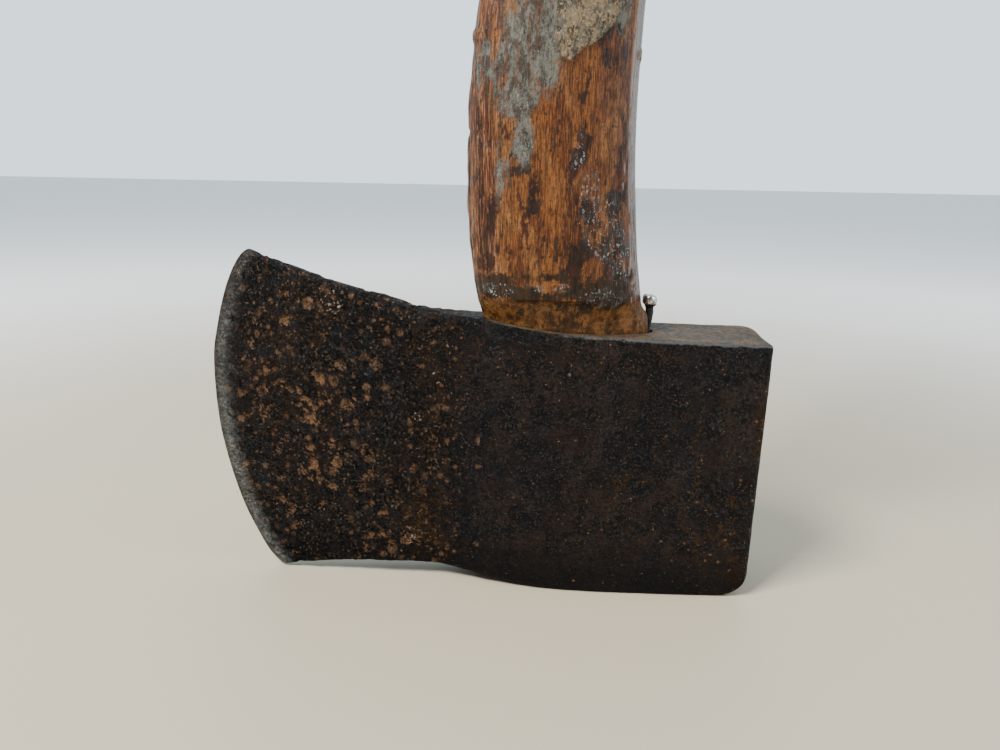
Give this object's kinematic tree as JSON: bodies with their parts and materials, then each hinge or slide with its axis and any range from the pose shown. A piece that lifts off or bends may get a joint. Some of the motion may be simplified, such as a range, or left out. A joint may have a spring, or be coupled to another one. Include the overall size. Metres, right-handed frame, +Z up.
{
  "type": "hatchet",
  "caption": "Forged hatchet head with a curved bit and a square poll on a curved wooden haft, held by wedges and a nail in its eye.",
  "frame": {"origin": "centre of the bounding box at the surface that the hatchet stands on, crown down", "axes": "+Z up the haft, +X from the bit to the poll, +Y through the thickness; Y = 0 is the plane of symmetry"},
  "size_m": [0.1444, 0.0258, 0.372],
  "materials": {
    "forged_steel": "forged, dark patina, pitted and rusted",
    "haft_wood": "oiled, worn and stained",
    "wedge_wood": "raw, aged end grain",
    "wedge_steel": "rusted",
    "nail_steel": "bright battered head, rusted shank"
  },
  "bodies": {
    "root": {"head": "forged_steel", "haft": "haft_wood", "kerf_wedge": "wedge_wood", "steel_wedge": "wedge_steel", "shim_nail": "nail_steel"}
  },
  "joints": []
}
